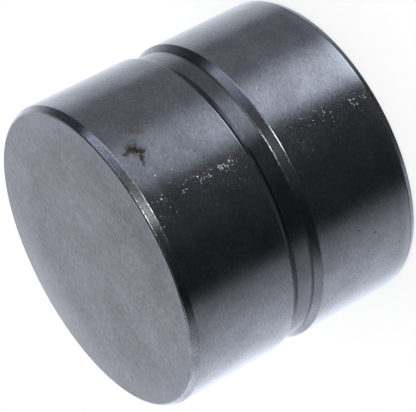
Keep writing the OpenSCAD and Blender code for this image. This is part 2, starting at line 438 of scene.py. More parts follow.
class Shading:
    """A node tree with short ways to add and join its nodes."""

    def __init__(self, tree):
        self.tree = tree
        self.tree.nodes.clear()

    def put(self, socket, value):
        """Joins a socket to another one, or sets its value."""
        if isinstance(value, bpy.types.NodeSocket):
            self.tree.links.new(value, socket)
        else:
            socket.default_value = value

    def add(self, kind, inputs=None, **settings):
        """Adds a node with its settings and inputs."""
        node = self.tree.nodes.new(kind)
        for name, value in settings.items():
            setattr(node, name, value)
        for name, value in (inputs or {}).items():
            self.put(node.inputs[name], value)
        return node

    def math(self, operation, first, second=0.0, clamp=False):
        """One sum."""
        node = self.add("ShaderNodeMath", {0: first, 1: second}, operation=operation, use_clamp=clamp)
        return node.outputs[0]

    def fade(self, value, low, high, at_low=0.0, at_high=1.0):
        """A smooth step from one value to another."""
        node = self.add(
            "ShaderNodeMapRange",
            {"Value": value, "From Min": low, "From Max": high, "To Min": at_low, "To Max": at_high},
            interpolation_type="SMOOTHSTEP",
        )
        return node.outputs["Result"]

    def fade_line(self, value, low, high):
        """An even rise from 0 to 1."""
        inputs = {"Value": value, "From Min": low, "From Max": high}
        return self.add("ShaderNodeMapRange", inputs).outputs["Result"]

    def mix(self, sockets, factor, first, second, **settings):
        """Two colours or numbers mixed by a factor."""
        first_in, second_in, result = sockets
        node = self.add("ShaderNodeMix", **settings)
        self.put(node.inputs[0], factor)
        self.put(node.inputs[first_in], first)
        self.put(node.inputs[second_in], second)
        return node.outputs[result]

    def blend(self, factor, first, second):
        """A mix of two colours."""
        return self.mix(COLOUR_SOCKETS, factor, first, second, data_type="RGBA")

    def tinted(self, value, tint):
        """A brightness or colour times a tint."""
        return self.mix(COLOUR_SOCKETS, 1.0, value, tint, data_type="RGBA", blend_type="MULTIPLY")

    def plus(self, first, second):
        """The sum of two colours."""
        return self.mix(COLOUR_SOCKETS, 1.0, first, second, data_type="RGBA", blend_type="ADD")

    def both(self, first, second):
        """Where two masks meet."""
        return self.math("MULTIPLY", first, second)

    def place(self):
        """Object coordinates, in metres."""
        return self.add("ShaderNodeTexCoord").outputs["Object"]

    def stretched(self, vector, scale):
        """Coordinates scaled along each axis."""
        node = self.add("ShaderNodeMapping", {"Vector": vector, "Scale": scale})
        return node.outputs["Vector"]

    def noise(self, vector, scale=1.0, detail=3.0, rough=0.55):
        """Fractal noise about 0.5."""
        inputs = {"Vector": vector, "Scale": scale, "Detail": detail, "Roughness": rough}
        return self.add("ShaderNodeTexNoise", inputs).outputs["Fac"]

    def torn(self, vector, scale, amount):
        """Coordinates pushed about by noise."""
        noise = self.add("ShaderNodeTexNoise", {"Vector": vector, "Scale": scale})
        push = self.add(
            "ShaderNodeVectorMath", {0: noise.outputs["Color"], 1: (0.5, 0.5, 0.5)}, operation="SUBTRACT"
        )
        inputs = {0: push.outputs[0], 1: (amount, amount, amount), 2: vector}
        return self.add("ShaderNodeVectorMath", inputs, operation="MULTIPLY_ADD").outputs[0]

    def split(self, vector):
        """The three parts of a vector."""
        node = self.add("ShaderNodeSeparateXYZ", {"Vector": vector})
        return node.outputs["X"], node.outputs["Y"], node.outputs["Z"]

    def bump(self, height, distance, under=None):
        """A surface raised by a height from 0 to 1."""
        inputs = {"Height": height, "Distance": distance}
        if under is not None:
            inputs["Normal"] = under
        return self.add("ShaderNodeBump", inputs).outputs["Normal"]

    def bearing(self, x, y):
        """Degrees round the axis from the side that faces the camera, up to 180 each way."""
        turn = self.math("ARCTAN2", self.math("MULTIPLY", x, -1.0), self.math("MULTIPLY", y, -1.0))
        return self.math("MULTIPLY", turn, DEGREES)

    def band(self, value, middle, inner, outer):
        """1 within inner of the middle, fading to 0 at outer."""
        away = self.math("ABSOLUTE", self.math("SUBTRACT", value, middle))
        return self.fade(away, outer, inner)

    def round_skin(self, place):
        """Degrees round the bucket's skin, millimetres round it and millimetres up it."""
        x, y, z = self.split(place)
        bearing = self.bearing(x, y)
        return bearing, self.math("MULTIPLY", bearing, skin_arc()), self.math("DIVIDE", z, MM)

    def streak_gap(self, across, up, start, end):
        """Distance from a line between two points of a surface."""
        run = (end[0] - start[0], end[1] - start[1])
        square = run[0] ** 2 + run[1] ** 2
        x = self.math("SUBTRACT", across, start[0])
        y = self.math("SUBTRACT", up, start[1])
        along = self.math(
            "ADD",
            self.math("MULTIPLY", x, run[0] / square),
            self.math("MULTIPLY", y, run[1] / square),
            clamp=True,
        )
        off_x = self.math("SUBTRACT", x, self.math("MULTIPLY", along, run[0]))
        off_y = self.math("SUBTRACT", y, self.math("MULTIPLY", along, run[1]))
        squares = self.math("ADD", self.math("POWER", off_x, 2.0), self.math("POWER", off_y, 2.0))
        return self.math("SQRT", squares)

    def marks(self, across, up, lines, grain, ragged):
        """1 on lines drawn on the bucket's skin, with soft and ragged edges."""
        arc = skin_arc()
        torn = self.math("MULTIPLY", self.math("SUBTRACT", grain, 0.5), ragged)
        mark = 0.0
        for start, end, width, strength in lines:
            gap = self.streak_gap(across, up, (start[0] * arc, start[1]), (end[0] * arc, end[1]))
            line = self.fade(self.math("ADD", gap, torn), width, MARK_CORE * width, 0.0, strength)
            mark = self.math("MAXIMUM", mark, line)
        return mark

    def lay_over(self, shader, name, mask, value):
        """Lays a colour or a number over what feeds a shader's input, where the mask is 1."""
        socket = shader.inputs[name]
        under = socket.links[0].from_socket if socket.is_linked else socket.default_value
        if socket.type == "RGBA":
            self.put(socket, self.blend(mask, under, value))
            return
        self.put(socket, self.mix(NUMBER_SOCKETS, mask, under, value, data_type="FLOAT"))


def grey(value):
    """A grey colour."""
    return (value, value, value, 1.0)


def tone(base, times):
    """A colour made lighter or darker."""
    return (*(min(1.0, part * times) for part in base), 1.0)


# Worked steel: the lines' share of its shade, the noise that goes from dark to light, and how far the
# roughness goes either way
LINE_SHARE = 0.6
SHADE_RANGE = (0.3, 0.7)
ROUGHNESS_SPREAD = 0.15


def steel(name, base, roughness, line_scale, line_depth, contrast=0.08, patch_scale=350.0):
    """Worked steel: lines along line_scale's low axes and patches of duller and brighter metal."""
    material = bpy.data.materials.new(name)
    material.use_nodes = True
    nodes = Shading(material.node_tree)
    place = nodes.place()
    lines = nodes.noise(nodes.stretched(place, line_scale), detail=4.0, rough=0.65)
    patches = nodes.noise(place, patch_scale, detail=5.0)
    shade = nodes.math(
        "ADD", nodes.math("MULTIPLY", lines, LINE_SHARE), nodes.math("MULTIPLY", patches, 1.0 - LINE_SHARE)
    )
    dark = tone(base, 1.0 - contrast)
    light = tone(base, 1.0 + contrast)
    metal = nodes.blend(nodes.fade(shade, *SHADE_RANGE), dark, light)
    smooth = roughness * (1.0 - ROUGHNESS_SPREAD)
    rough = roughness * (1.0 + ROUGHNESS_SPREAD)
    dull = nodes.fade(shade, *SHADE_RANGE, smooth, rough)
    surface = nodes.add(
        "ShaderNodeBsdfPrincipled",
        {
            "Base Color": metal,
            "Metallic": 1.0,
            "Roughness": dull,
            "Normal": nodes.bump(lines, line_depth),
        },
    )
    nodes.add("ShaderNodeOutputMaterial", {"Surface": surface.outputs["BSDF"]})
    return material, nodes, surface


# Marks on the bucket: degrees round from the camera's side and millimetres above the rim, from a point
# to a point, with the mark's half width in millimetres and its strength. The core is the share of the
# half width that has the full strength.
MARK_CORE = 0.1
STAIN = (
    ((-27.4, 23.0), (-25.6, 22.5), 0.6, 0.97),
    ((-26.9, 22.75), (-24.8, 22.4), 0.5, 0.97),
    ((-26.9, 23.2), (-25.4, 22.6), 0.45, 0.95),
    ((-29.7, 22.2), (-27.6, 22.55), 0.32, 0.6),
    ((-28.7, 23.1), (-27.6, 23.05), 0.3, 0.5),
    ((-26.5, 23.75), (-26.9, 23.1), 0.38, 0.8),
    ((-24.5, 22.1), (-25.2, 22.4), 0.36, 0.8),
    ((-24.8, 22.5), (-22.2, 22.75), 0.34, 0.9),
    ((-22.2, 22.75), (-20.0, 22.93), 0.22, 0.8),
)
BLOOM = (
    ((-12.2, 22.42), (-7.5, 22.45), 0.6, 0.4),
    ((-33.5, 21.85), (-31.8, 21.2), 0.6, 0.4),
    ((-28.0, 22.95), (-24.2, 22.45), 1.0, 0.45),
)
BEVEL_RUST = (((-27.3, 25.15), (-26.7, 25.62), 0.34, 0.55),)

# Clumps of bright pits, most of them along one line down the lands: degrees round, height, half length
# and crowding. Then the halves of a clump, as shares of its length and in degrees round.
PIT_CLUMPS = (
    (-6.8, 23.35, 0.25, 0.5),
    (-6.5, 21.15, 0.35, 0.5),
    (-6.6, 18.75, 0.65, 0.75),
    (-6.7, 16.5, 0.9, 0.95),
    (-21.6, 17.25, 0.12, 1.0),
    (-5.8, 7.1, 0.3, 0.3),
    (-7.0, 5.6, 0.3, 0.65),
    (-4.8, 4.4, 0.6, 0.25),
    (-6.2, 2.5, 0.5, 0.6),
    (-6.5, 1.35, 0.3, 0.6),
)
CLUMP_CORE = 0.3
CLUMP_EDGE = 1.6
CLUMP_TURN = (0.6, 2.4)
NO_CLUMP = 0.001

# The haze of fine pits round that line and the dark specks low on the right: degrees round as middle,
# full half and outer half, with the share of cells that have one
PIT_HAZE = (-4.4, 2.0, 11.0)
PIT_HAZE_SHARE = 0.22
DARK_SPECKS = (39.0, 5.0, 14.0)
DARK_SPECK_SHARE = 0.07
LOW_LAND = (9.0, 7.0)

# A pit's least and largest half, its core and its depth as shares of a cell, and its dullest shine
PIT_HALF = (0.22, 0.6)
PIT_CORE = 0.1
PIT_DEPTH = 0.1
PIT_DULL = 0.3

# Heights over which the lands get lighter towards the rim, how much of the lightening shows and how
# light it is
RIM_LIGHTENING = (1.9, 0.7)
RIM_LIGHTENING_SHARE = 0.8
RIM_LIGHTENING_TONE = 1.35

# Nicks along an edge: degrees round, height across as halves about its middle, and the noise over
# which they come in
NICK_TURN = (-10.0, 12.0, 24.0)
NICK_HALF = (0.06, 0.14)
NICK_NOISE = (0.5, 0.56)

# Dark speckle of the bevels and dark flecks of the crown: the noise over which they come in, how much
# of them shows and their tone
BEVEL_SPECKLE = (0.55, 0.68)
BEVEL_SPECKLE_SHARE = 0.5
BEVEL_SPECKLE_TONE = 0.45
CROWN_FLECKS = (0.68, 0.78)
CROWN_FLECK_SHARE = 0.6
CROWN_FLECK_TONE = 0.55

# Roughness of rust, of the rust on the bevel, and of pits and nicks
RUST_ROUGHNESS = 0.7
BLOOM_ROUGHNESS = 0.6
PIT_ROUGHNESS = 0.4

# The oil groove: roughness of its smooth upper flank and the painted shade on it; painted shade along the
# foot of the lower flank, left out towards the camera where the highlight falls; and painted shade at its
# right end, fainter on the lower flank
FLANK_ROUGHNESS = 0.08
FLANK_SHADE_SHARE = 0.5
FLANK_SHADE_TONE = 0.4
FOOT_SHADE_LIFT = 0.06
FOOT_SHADE_HALF = (0.06, 0.22)
FOOT_SHADE_SHARE = 0.65
FOOT_SHADE_TONE = 0.25
FOOT_SHADE_GAP_TURN = (8.0, 17.0, 25.0)
END_SHADE_TURN = (104.0, 20.0, 54.0)
END_SHADE_FOOT = 0.1
END_SHADE_ON_FLANK = 0.45
END_SHADE_TONE = 0.3


def ground_land(finishes):
    """The ground lands: short lines round the axis, lighter towards the rim, with rust and pits."""
    material, nodes, surface = steel(
        "ground_land",
        finishes.ground,
        finishes.land_roughness,
        line_scale=(2900.0, 2900.0, 6200.0),
        line_depth=0.4e-6,
        contrast=0.25,
    )
    place = nodes.place()
    bearing, across, up = nodes.round_skin(place)
    # The lands' colour gets lighter towards the rim
    lightened = nodes.fade(up, *RIM_LIGHTENING, 0.0, RIM_LIGHTENING_SHARE)
    nodes.lay_over(surface, "Base Color", lightened, tone(finishes.ground, RIM_LIGHTENING_TONE))
    rust_marks(finishes, nodes, surface, place, across, up)
    pits(finishes, nodes, surface, place, bearing, up)
    return material


def rust_marks(finishes, nodes, surface, place, across, up):
    """A dark blot of rust with a tail, and faint blooms of rust beside it."""
    grain = nodes.noise(place, 4200.0, detail=5.0, rough=0.75)
    bloom = nodes.marks(across, up, BLOOM, grain, ragged=1.6)
    nodes.lay_over(surface, "Base Color", bloom, (*finishes.bloom, 1.0))
    stain = nodes.marks(across, up, STAIN, grain, ragged=1.7)
    # Thin rust colours the steel well before it dulls its mirror
    nodes.lay_over(surface, "Base Color", nodes.math("POWER", stain, 0.8), (*finishes.rust, 1.0))
    nodes.lay_over(surface, "Metallic", nodes.math("POWER", stain, 3.0), 0.0)
    nodes.lay_over(surface, "Roughness", stain, RUST_ROUGHNESS)


def pits(finishes, nodes, surface, place, bearing, up):
    """Burnished pits in clumps along one line, a haze of finer ones round them, and dark specks."""
    crowd = NO_CLUMP
    for turn, height, half, share_in in PIT_CLUMPS:
        long = nodes.band(up, height, CLUMP_CORE * half, CLUMP_EDGE * half)
        clump = nodes.both(nodes.math("MULTIPLY", long, share_in), nodes.band(bearing, turn, *CLUMP_TURN))
        crowd = nodes.math("MAXIMUM", crowd, clump)
    haze = nodes.math("MULTIPLY", nodes.band(bearing, *PIT_HAZE), PIT_HAZE_SHARE)
    specks = nodes.both(nodes.band(bearing, *DARK_SPECKS), nodes.fade(up, *LOW_LAND, 0.0, DARK_SPECK_SHARE))
    ragged = nodes.torn(place, 9000.0, 1.2e-4)
    for scale, chance, strength, tint in (
        (6500.0, haze, 0.42, finishes.pit),
        (4600.0, specks, 0.7, finishes.rust),
        (5600.0, crowd, 1.0, finishes.pit),
    ):
        cells = nodes.add("ShaderNodeTexVoronoi", {"Vector": ragged, "Scale": scale})
        lot, spread, gloss = nodes.split(cells.outputs["Color"])
        there = nodes.math("LESS_THAN", lot, chance)
        size = nodes.fade(spread, 0.0, 1.0, *PIT_HALF)
        inside = nodes.fade(cells.outputs["Distance"], size, PIT_CORE)
        bright = nodes.fade(gloss, 0.0, 1.0, PIT_DULL * strength, strength)
        pit = nodes.both(nodes.both(inside, there), bright)
        nodes.lay_over(surface, "Base Color", pit, (*tint, 1.0))
        nodes.lay_over(surface, "Roughness", pit, PIT_ROUGHNESS)
        flat = surface.inputs["Normal"].links[0].from_socket
        nodes.put(surface.inputs["Normal"], nodes.bump(pit, -PIT_DEPTH / scale, under=flat))


def worn_edges(nodes, surface, place, bearing, up, heights):
    """Nicks along the edges at some heights, which break their shine up into dashes."""
    nicks = nodes.fade(nodes.noise(place, 2200.0, detail=2.0), *NICK_NOISE)
    nicks = nodes.both(nicks, nodes.band(bearing, *NICK_TURN))
    for height in heights:
        nick = nodes.both(nodes.band(up, height, *NICK_HALF), nicks)
        nodes.lay_over(surface, "Roughness", nick, PIT_ROUGHNESS)


def ground_crown(finishes):
    """The ground cam face: short straight lines from side to side, dark flecks and soft patches."""
    material, nodes, surface = steel(
        "ground_crown",
        finishes.crown,
        finishes.crown_roughness,
        line_scale=(2300.0, 4400.0, 2300.0),
        line_depth=0.6e-6,
        contrast=0.14,
        patch_scale=220.0,
    )
    place = nodes.place()
    flecks = nodes.noise(nodes.stretched(place, (900.0, 3200.0, 900.0)), detail=2.0)
    dark = nodes.fade(flecks, *CROWN_FLECKS, 0.0, CROWN_FLECK_SHARE)
    nodes.lay_over(surface, "Base Color", dark, tone(finishes.crown, CROWN_FLECK_TONE))
    return material


def turned_bevel(finishes, edges):
    """The turned bevels: grainy tool lines, dark speckle, nicked edges and a spot of rust."""
    material, nodes, surface = steel(
        "turned_bevel",
        finishes.turned,
        finishes.turned_roughness,
        line_scale=(5000.0, 5000.0, 6500.0),
        line_depth=3.0e-6,
        contrast=0.38,
    )
    place = nodes.place()
    bearing, across, up = nodes.round_skin(place)
    dots = nodes.noise(place, 7000.0, detail=1.0)
    speckle = nodes.fade(dots, *BEVEL_SPECKLE, 0.0, BEVEL_SPECKLE_SHARE)
    nodes.lay_over(surface, "Base Color", speckle, tone(finishes.turned, BEVEL_SPECKLE_TONE))
    grain = nodes.noise(place, 5500.0, detail=3.0, rough=0.7)
    rust = nodes.marks(across, up, BEVEL_RUST, grain, ragged=1.0)
    nodes.lay_over(surface, "Base Color", rust, (*finishes.bloom, 1.0))
    nodes.lay_over(surface, "Roughness", rust, BLOOM_ROUGHNESS)
    worn_edges(nodes, surface, place, bearing, up, edges)
    return material


def turned_groove(finishes, edges, corner):
    """The oil groove: darker turned steel, smooth above its corner, with painted shade on the upper flank,
    the foot and the right end.
    """
    material, nodes, surface = steel(
        "turned_groove",
        finishes.groove,
        finishes.groove_roughness,
        line_scale=(1900.0, 1900.0, 5000.0),
        line_depth=1.0e-6,
        contrast=0.2,
    )
    place = nodes.place()
    bearing, _, up = nodes.round_skin(place)
    flank = nodes.math("GREATER_THAN", up, corner)
    nodes.lay_over(surface, "Roughness", flank, FLANK_ROUGHNESS)
    # Painted shade: the upper flank's colour is darkened for the shade it lies in
    shaded = nodes.math("MULTIPLY", flank, FLANK_SHADE_SHARE)
    nodes.lay_over(surface, "Base Color", shaded, tone(finishes.groove, FLANK_SHADE_TONE))
    lower_foot = edges[1]
    # Painted shade: a dark band along the foot of the lower flank, left out where the highlight falls
    foot_shade = nodes.math("MULTIPLY", nodes.band(up, lower_foot + FOOT_SHADE_LIFT, *FOOT_SHADE_HALF), FOOT_SHADE_SHARE)
    foot_shade = nodes.both(foot_shade, nodes.math("SUBTRACT", 1.0, nodes.band(bearing, *FOOT_SHADE_GAP_TURN)))
    nodes.lay_over(surface, "Base Color", foot_shade, tone(finishes.groove, FOOT_SHADE_TONE))
    # Painted shade: the groove's right end darkened, fainter on the lower flank
    end_shade = nodes.both(nodes.band(bearing, *END_SHADE_TURN), nodes.math("SUBTRACT", 1.0, flank))
    end_shade_fade = nodes.fade(up, lower_foot - END_SHADE_FOOT, lower_foot + END_SHADE_FOOT, END_SHADE_ON_FLANK, 1.0)
    nodes.lay_over(surface, "Base Color", nodes.both(end_shade, end_shade_fade), tone(finishes.groove, END_SHADE_TONE))
    worn_edges(nodes, surface, place, bearing, up, edges)
    return material


def turned_bore(finishes):
    """The bucket's hollow: dull turned steel."""
    material, _, _ = steel(
        "turned_bore",
        finishes.turned,
        roughness=0.42,
        line_scale=(90.0, 90.0, 3000.0),
        line_depth=4.0e-6,
        contrast=0.18,
    )
    return material


def honed_steel(finishes):
    """The sliding pieces: honed steel with fine lines round the axis."""
    material, _, _ = steel(
        "honed_steel",
        finishes.turned,
        roughness=0.26,
        line_scale=(80.0, 80.0, 4500.0),
        line_depth=1.0e-6,
    )
    return material


def pressed_sheet(finishes):
    """The pressed pieces: dull sheet with drawn streaks and patches of scale."""
    material, _, _ = steel(
        "pressed_sheet",
        finishes.pressed,
        roughness=0.45,
        line_scale=(900.0, 900.0, 300.0),
        line_depth=5.0e-6,
        contrast=0.22,
        patch_scale=600.0,
    )
    return material


def drawn_wire(finishes):
    """The springs and the snap ring: dark drawn wire."""
    material, _, _ = steel(
        "drawn_wire",
        finishes.wire,
        roughness=0.36,
        line_scale=(1500.0, 1500.0, 5000.0),
        line_depth=2.0e-6,
        contrast=0.2,
        patch_scale=900.0,
    )
    return material


def polished_ball(finishes):
    """The ball: lapped and polished."""
    material, _, _ = steel(
        "polished_ball",
        finishes.polished,
        roughness=0.1,
        line_scale=(2500.0, 2500.0, 2500.0),
        line_depth=0.2e-6,
        contrast=0.05,
        patch_scale=900.0,
    )
    return material


# Pieces

# Finishes of the bucket's faces, in the order of its materials
CROWN, LAND, BEVEL, GROOVE, HOLLOW = range(5)

# Share of its rounding by which the crown's edge shines below the crown
EDGE_SHINE = 0.6


class BuildBucket(bpy.types.Operator):
    """Models the bucket with its crown, lands, oil groove, feed hole and hollow"""

    bl_idname = "tappet.bucket"
    bl_label = "Bucket"

    def execute(self, context):
        sizes = context.scene.tappet_bucket
        finishes = context.scene.tappet_finishes
        radius = outer_radius("bucket_body")
        height = top("bucket_body")
        ease = sizes.edge_break
        crown_r = radius - sizes.crown_bevel_inset
        under = height - sizes.crown_thickness
        bore = radius - sizes.skirt_wall
        seat = bore + sizes.seat_step
        groove_r = radius - sizes.groove_depth
        groove_top = height - sizes.groove_drop
        groove_low = groove_top - sizes.groove_width
        seat_z = groove_low - sizes.seat_drop
        outline = [
            (0.0, height, 0.0),
            *self.crown_line(sizes, radius, crown_r, height),
            (crown_r, height - sizes.crown_relief, sizes.crown_edge),
            (radius, height - sizes.crown_bevel_height, ease),
            (radius, groove_top, ease),
            (groove_r, groove_top - sizes.groove_flank, sizes.groove_corner),
            (groove_r, groove_low + sizes.groove_flank, sizes.groove_round),
            (radius, groove_low, ease),
            (radius, sizes.rim_bevel_height, ease),
            (radius - sizes.rim_bevel_inset, 0.0, sizes.rim_edge),
            (seat + sizes.rim_bore_bevel, 0.0, ease),
            (seat, sizes.rim_bore_bevel, ease),
            (seat, seat_z, 0.0),
            (bore, seat_z, 0.0),
            (bore, under, sizes.inner_fillet),
            (0.0, under, 0.0),
        ]
        mesh = spin_outline(outline, SKIN_STEPS)
        crown_edge_z = height - sizes.crown_relief - EDGE_SHINE * sizes.crown_edge
        bevel_edges = ((height - sizes.crown_bevel_height) / MM, crown_edge_z / MM)
        groove_edges = (groove_low / MM, (groove_low + sizes.groove_flank) / MM)
        materials = [
            ground_crown(finishes),
            ground_land(finishes),
            turned_bevel(finishes, bevel_edges),
            turned_groove(finishes, groove_edges, (groove_top - sizes.groove_flank) / MM),
            turned_bore(finishes),
        ]
        piece = finish_piece("bucket", mesh, materials, "bucket", "bucket_body")
        feed_z = (groove_top + groove_low) / 2
        drill_end = (0.0, 0.9 * bore, feed_z)
        drill_start = (0.0, 1.2 * radius, feed_z)
        cut_away(piece, rod(sizes.feed_diameter / 2, drill_end, drill_start))
        recess = slot_bar(
            sizes.recess_width,
            sizes.recess_start,
            sizes.recess_end,
            under - sizes.recess_depth,
            under + sizes.recess_depth,
        )
        cut_away(piece, recess)
        self.finish_faces(piece.data, radius, height, groove_r, groove_low, groove_top)
        crisp_normals(piece)
        return {"FINISHED"}

    def crown_line(self, sizes, radius, crown_r, height):
        """Rings of the cam face, flat in the middle and falling away more and more to its edge."""
        flat_r = sizes.crown_flat * radius
        for ring in range(CROWN_RINGS):
            part = ring / CROWN_RINGS
            yield flat_r + part * (crown_r - flat_r), height - part * part * sizes.crown_relief, 0.0

    def finish_faces(self, data, radius, height, groove_r, groove_low, groove_top):
        """Gives the crown, the lands, the bevels, the groove and the hollow their own finish."""
        slack = 0.005 * MM
        crown_depth = 0.08 * MM
        for face in data.polygons:
            across = face.center.xy.length
            outward = face.normal.xy.dot(face.center.xy) > 0.0
            if face.normal.z > 0.99 and face.center.z > height - crown_depth:
                face.material_index = CROWN
            elif across > radius - slack and outward:
                face.material_index = LAND
            elif groove_low < face.center.z < groove_top and across > groove_r - slack and outward:
                face.material_index = GROOVE
            elif across > groove_r - slack and (outward or face.center.z < slack):
                face.material_index = BEVEL
            else:
                face.material_index = HOLLOW


class BuildWebRing(bpy.types.Operator):
    """Models the pressed ring between the skirt and the guide sleeve"""

    bl_idname = "tappet.web_ring"
    bl_label = "Web ring"

    def execute(self, context):
        sizes = context.scene.tappet_element
        band_r = outer_radius("web_ring")
        collar_r = outer_radius("guide_sleeve") + sizes.braze_gap
        low = foot("web_ring")
        sheet = sizes.web_thickness
        inside = sizes.web_bend
        outside = inside + sheet
        ease = sizes.sheet_ease
        collar_top = low + sizes.collar_height
        band_top = top("web_ring")
        outline = [
            (band_r, low, outside),
            (band_r, band_top, ease),
            (band_r - sheet, band_top, ease),
            (band_r - sheet, low + sheet, inside),
            (collar_r + sheet, low + sheet, inside),
            (collar_r + sheet, collar_top, ease),
            (collar_r, collar_top, ease),
            (collar_r, low, outside),
        ]
        mesh = spin_outline(outline, INNER_STEPS, closed=True)
        material = pressed_sheet(context.scene.tappet_finishes)
        piece = finish_piece("web_plate", mesh, [material], "bucket", "web_ring")
        crisp_normals(piece)
        return {"FINISHED"}


class BuildGuideSleeve(bpy.types.Operator):
    """Models the tube that guides the housing, with its snap ring groove"""

    bl_idname = "tappet.guide_sleeve"
    bl_label = "Guide sleeve"

    def execute(self, context):
        sizes = context.scene.tappet_element
        bore = outer_radius("inner_housing") + sizes.run_clearance
        outer = outer_radius("guide_sleeve")
        low = foot("guide_sleeve")
        high = top("guide_sleeve")
        ring_z = (foot("retaining_ring") + top("retaining_ring")) / 2
        half = (top("retaining_ring") - foot("retaining_ring")) / 2 + sizes.ring_groove_gap
        edge = sizes.edge
        ease = sizes.ease
        outline = [
            (bore + edge, low, ease),
            (outer - edge, low, ease),
            (outer, low + edge, ease),
            (outer, high, ease),
            (bore + edge, high, ease),
            (bore, high - edge, ease),
            (bore, ring_z + half, 0.0),
            (bore + half, ring_z + half, 0.9 * half),
            (bore + half, ring_z - half, 0.9 * half),
            (bore, ring_z - half, 0.0),
            (bore, low + edge, ease),
        ]
        mesh = spin_outline(outline, INNER_STEPS, closed=True)
        material = honed_steel(context.scene.tappet_finishes)
        piece = finish_piece("sleeve", mesh, [material], "bucket", "guide_sleeve")
        crisp_normals(piece)
        return {"FINISHED"}


class BuildHousing(bpy.types.Operator):
    """Models the sliding cup that meets the valve stem"""

    bl_idname = "tappet.housing"
    bl_label = "Inner housing"

    def execute(self, context):
        sizes = context.scene.tappet_element
        bore = outer_radius("piston") + sizes.run_clearance
        outer = outer_radius("inner_housing")
        nose = outer - sizes.shoulder_width
        low = foot("inner_housing")
        high = top("inner_housing")
        shoulder = low + sizes.nose_length
        edge = sizes.edge
        ease = sizes.ease
        outline = [
            (0.0, low, 0.0),
            (nose - edge, low, ease),
            (nose, low + edge, ease),
            (nose, shoulder, 0.0),
            (outer, shoulder, ease),
            (outer, high - edge, ease),
            (outer - edge, high, ease),
            (bore + edge, high, ease),
            (bore, high - edge, ease),
            (bore, low + sizes.housing_floor, ease),
            (0.0, low + sizes.housing_floor, 0.0),
        ]
        mesh = spin_outline(outline, INNER_STEPS)
        material = honed_steel(context.scene.tappet_finishes)
        piece = finish_piece("housing_cup", mesh, [material], "housing", "inner_housing")
        crisp_normals(piece)
        return {"FINISHED"}


class BuildPiston(bpy.types.Operator):
    """Models the hollow plunger with the ball's seat"""

    bl_idname = "tappet.piston"
    bl_label = "Piston"

    def execute(self, context):
        sizes = context.scene.tappet_element
        outer = outer_radius("piston")
        low = foot("piston")
        high = top("piston")
        space = outer - sizes.piston_wall
        floor = low + sizes.piston_floor
        passage = sizes.passage / 2
        mouth = outer_radius("check_ball") + sizes.seat_margin
        edge = sizes.edge
        ease = sizes.ease
        outline = [
            (mouth, low, ease),
            (outer - edge, low, ease),
            (outer, low + edge, ease),
            (outer, high - edge, ease),
            (outer - edge, high, ease),
            (space, high, ease),
            (space, floor + edge, 0.0),
            (space - edge, floor, 0.0),
            (passage, floor, ease),
            (passage, low + mouth - passage, ease),
        ]
        mesh = spin_outline(outline, INNER_STEPS, closed=True)
        material = honed_steel(context.scene.tappet_finishes)
        piece = finish_piece("plunger", mesh, [material], "bucket", "piston")
        crisp_normals(piece)
        return {"FINISHED"}


class BuildValveCap(bpy.types.Operator):
    """Models the pressed cage under the piston, with its oil windows"""

    bl_idname = "tappet.valve_cap"
    bl_label = "Valve cap"

    def execute(self, context):
        sizes = context.scene.tappet_element
        sheet = sizes.cap_sheet
        inside = outer_radius("check_ball") + sizes.cap_clearance
        outside = inside + sheet
        flange = outer_radius("valve_cap")
        low = foot("valve_cap")
        high = top("valve_cap")
        drain = sizes.cap_drain / 2
        ease = sizes.ease
        outline = [
            (drain, low, ease),
            (outside, low, 2 * ease),
            (outside, high - sheet, 0.0),
            (flange, high - sheet, ease),
            (flange, high, ease),
            (inside, high, 2 * ease),
            (inside, low + sheet, 0.0),
            (drain, low + sheet, ease),
        ]
        mesh = spin_outline(outline, INNER_STEPS, closed=True)
        material = pressed_sheet(context.scene.tappet_finishes)
        piece = finish_piece("ball_cage", mesh, [material], "bucket", "valve_cap")
        middle = (low + high) / 2
        reach = 2 * outside
        cut_away(piece, rod(sizes.cap_window / 2, (-reach, 0.0, middle), (reach, 0.0, middle)))
        cut_away(piece, rod(sizes.cap_window / 2, (0.0, -reach, middle), (0.0, reach, middle)))
        crisp_normals(piece)
        return {"FINISHED"}


class BuildCheckBall(bpy.types.Operator):
    """Models the ball of the non-return valve"""

    bl_idname = "tappet.check_ball"
    bl_label = "Check ball"

    def execute(self, context):
        low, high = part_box("check_ball")
        mesh = bmesh.new()
        bmesh.ops.create_icosphere(mesh, subdivisions=5, radius=outer_radius("check_ball"))
        bmesh.ops.translate(mesh, verts=mesh.verts, vec=(low + high) / 2)
        material = polished_ball(context.scene.tappet_finishes)
        finish_piece("ball", mesh, [material], "ball", "check_ball")
        return {"FINISHED"}


class BuildSprings(bpy.types.Operator):
    """Winds the return spring and the ball spring"""

    bl_idname = "tappet.springs"
    bl_label = "Springs"

    def execute(self, context):
        sizes = context.scene.tappet_element
        material = drawn_wire(context.scene.tappet_finishes)
        joints = {j["name"]: j for j in frame["joints"]}
        coil = self.coil("return_spring", sizes.return_wire, sizes.return_turns)
        piece = finish_piece("return_coil", coil, [material], "bucket", "return_spring")
        self.follow(piece, joints["housing_slide"], "return_spring")
        coil = self.coil("ball_spring", sizes.ball_wire, sizes.ball_turns)
        piece = finish_piece("ball_coil", coil, [material], "bucket", "ball_spring")
        self.follow(piece, joints["ball_lift"], "ball_spring")
        return {"FINISHED"}

    def coil(self, node, wire, turns):
        """A coil with closed end turns, between the node's two ends."""
        closed = CLOSED_TURN
        tight = CLOSED_RISE * wire
        low = foot(node) + wire / 2
        rise = top(node) - foot(node) - wire
        pitch = (rise - 2 * closed * tight) / (turns - 2 * closed)
        mesh = bmesh.new()
        section = wire_section(mesh, outer_radius(node) - wire / 2, low, wire)
        for part, step in ((closed, tight), (turns - 2 * closed, pitch), (closed, tight)):
            steps = round(COIL_STEPS * part)
            section = wind(mesh, section, 2 * math.pi * part, part * step, steps)
        close_wire(mesh)
        return mesh

    def follow(self, piece, joint, node):
        """Gives a coil a mesh of its own."""
        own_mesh(piece)


